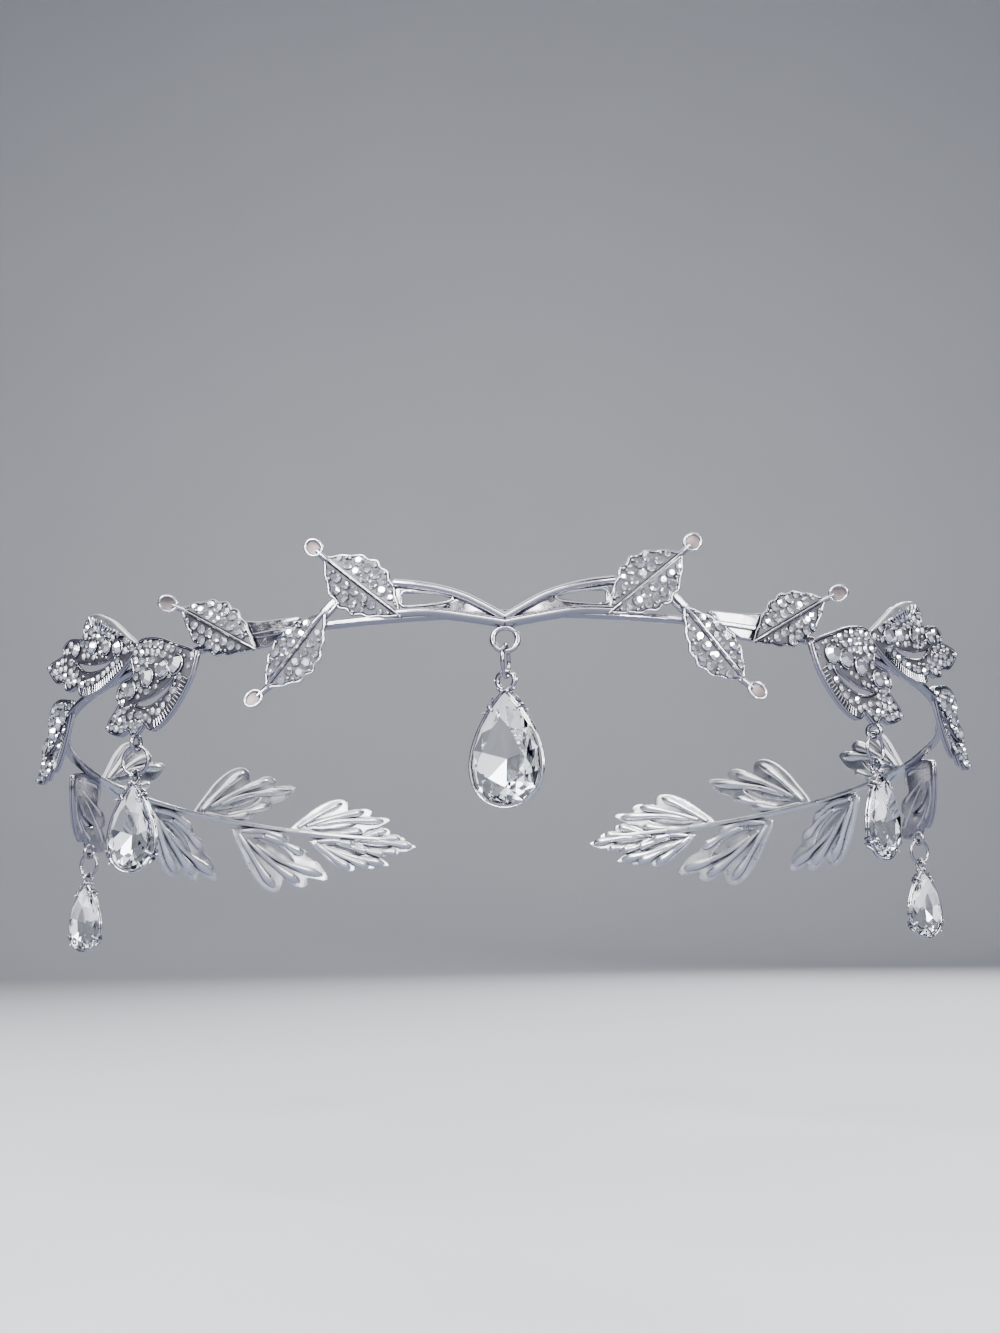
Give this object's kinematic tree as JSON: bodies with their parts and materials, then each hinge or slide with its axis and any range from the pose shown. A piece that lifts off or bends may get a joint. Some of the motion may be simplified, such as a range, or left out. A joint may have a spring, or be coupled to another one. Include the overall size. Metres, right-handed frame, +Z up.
{
  "type": "crystal tiara",
  "caption": "Open wreath tiara of pierced silver leaves set with small clear stones, with pear crystals hanging from its front, temples and ears.",
  "frame": {"origin": "centre of the head opening, in the plane of the band", "axes": "+X across the head to the right of the front view, -Y towards the forehead, +Z up; the band's plane is tipped 8 degrees about X with its front raised"},
  "size_m": [0.1518, 0.1459, 0.0526],
  "materials": {
    "silver_metal": "polished bright silver plate, darker in its recesses",
    "crystal": "clear faceted crystal, foiled behind",
    "pave_stone": "small clear cut stones"
  },
  "bodies": {
    "crown": {"frame": "silver_metal", "temple_drop_left_ring": "silver_metal", "temple_drop_left_setting": "silver_metal", "temple_drop_left_crystal": "crystal", "temple_drop_right_ring": "silver_metal", "temple_drop_right_setting": "silver_metal", "temple_drop_right_crystal": "crystal", "ear_drop_left_ring": "silver_metal", "ear_drop_left_setting": "silver_metal", "ear_drop_left_crystal": "crystal", "ear_drop_right_ring": "silver_metal", "ear_drop_right_setting": "silver_metal", "ear_drop_right_crystal": "crystal", "stones_brow_leaf_left": "pave_stone", "stones_brow_leaf_right": "pave_stone", "stones_hanging_leaf_left": "pave_stone", "stones_hanging_leaf_right": "pave_stone", "stones_rising_leaf_left": "pave_stone", "stones_rising_leaf_right": "pave_stone", "stones_temple_leaf_left": "pave_stone", "stones_temple_leaf_right": "pave_stone", "stones_crest_leaf_left": "pave_stone", "stones_crest_leaf_right": "pave_stone", "stones_side_leaf_left": "pave_stone", "stones_side_leaf_right": "pave_stone", "stones_ear_leaf_left": "pave_stone", "stones_ear_leaf_right": "pave_stone", "stones_back_spray_left": "pave_stone", "stones_back_spray_right": "pave_stone"},
    "link": {"front_drop_link": "silver_metal"},
    "drop": {"front_drop_setting": "silver_metal", "front_drop_crystal": "crystal"}
  },
  "joints": [
    {"name": "link_swing", "type": "hinge", "parent": "crown", "child": "link", "pos_m": [0, -0.07299, 0.00518], "axis": [1, 0, 0], "range_deg": [-50, 50]},
    {"name": "drop_sway", "type": "hinge", "parent": "link", "child": "drop", "pos_m": [0, -0.07299, 0.002], "axis": [0.2079, 0.9781, 0], "range_deg": [-40, 40]}
  ]
}
